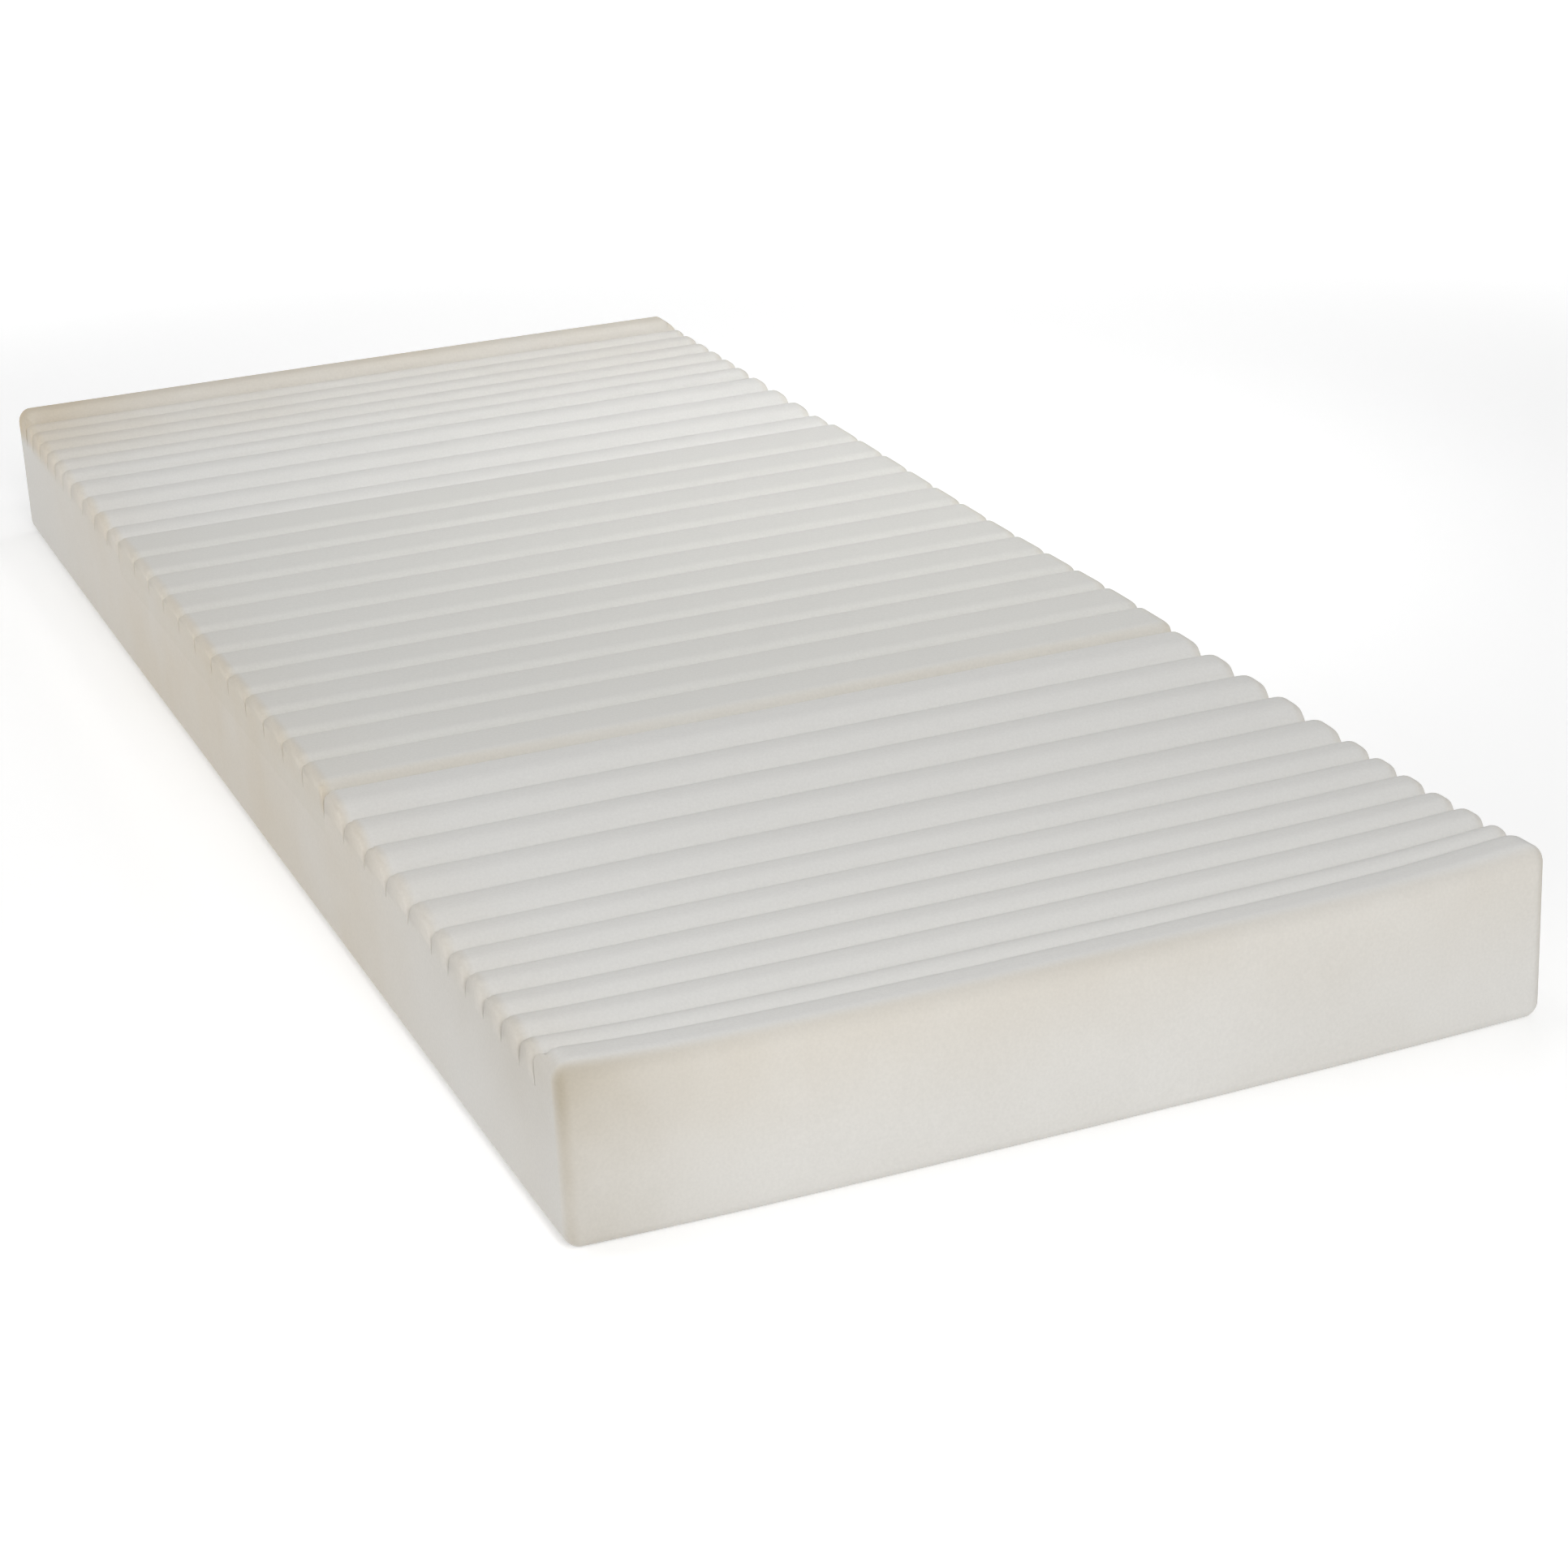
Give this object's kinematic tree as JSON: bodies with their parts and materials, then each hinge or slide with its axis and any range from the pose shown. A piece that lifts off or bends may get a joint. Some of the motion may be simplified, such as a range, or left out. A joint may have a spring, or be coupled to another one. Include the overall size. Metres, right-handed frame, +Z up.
{
  "type": "memory foam mattress",
  "caption": "Bare single-bed memory foam mattress: a support core with profiled comfort panels glued on top, round ribs towards head and foot, flat ribs between, uncut strips at both ends.",
  "frame": {"origin": "middle of the underside, on the surface that the mattress lies on", "axes": "+Y from the foot end to the head end along the length, +X across the width, +Z up out of the ribbed top"},
  "size_m": [0.8, 1.9, 0.15],
  "materials": {
    "support_foam": "matte open-cell polyurethane support foam, sawn faces",
    "round_rib_foam": "matte off-white memory foam, contour-cut round ribs",
    "flat_rib_foam": "matte greyish-white memory foam, contour-cut flat ribs",
    "strip_foam": "matte memory foam, slightly yellowed cream"
  },
  "bodies": {
    "root": {"support_core": "support_foam", "foot_strip": "strip_foam", "foot_panel": "round_rib_foam", "calf_panel": "round_rib_foam", "middle_panel": "flat_rib_foam", "shoulder_panel": "round_rib_foam", "head_panel": "round_rib_foam", "head_strip": "strip_foam"}
  },
  "joints": []
}
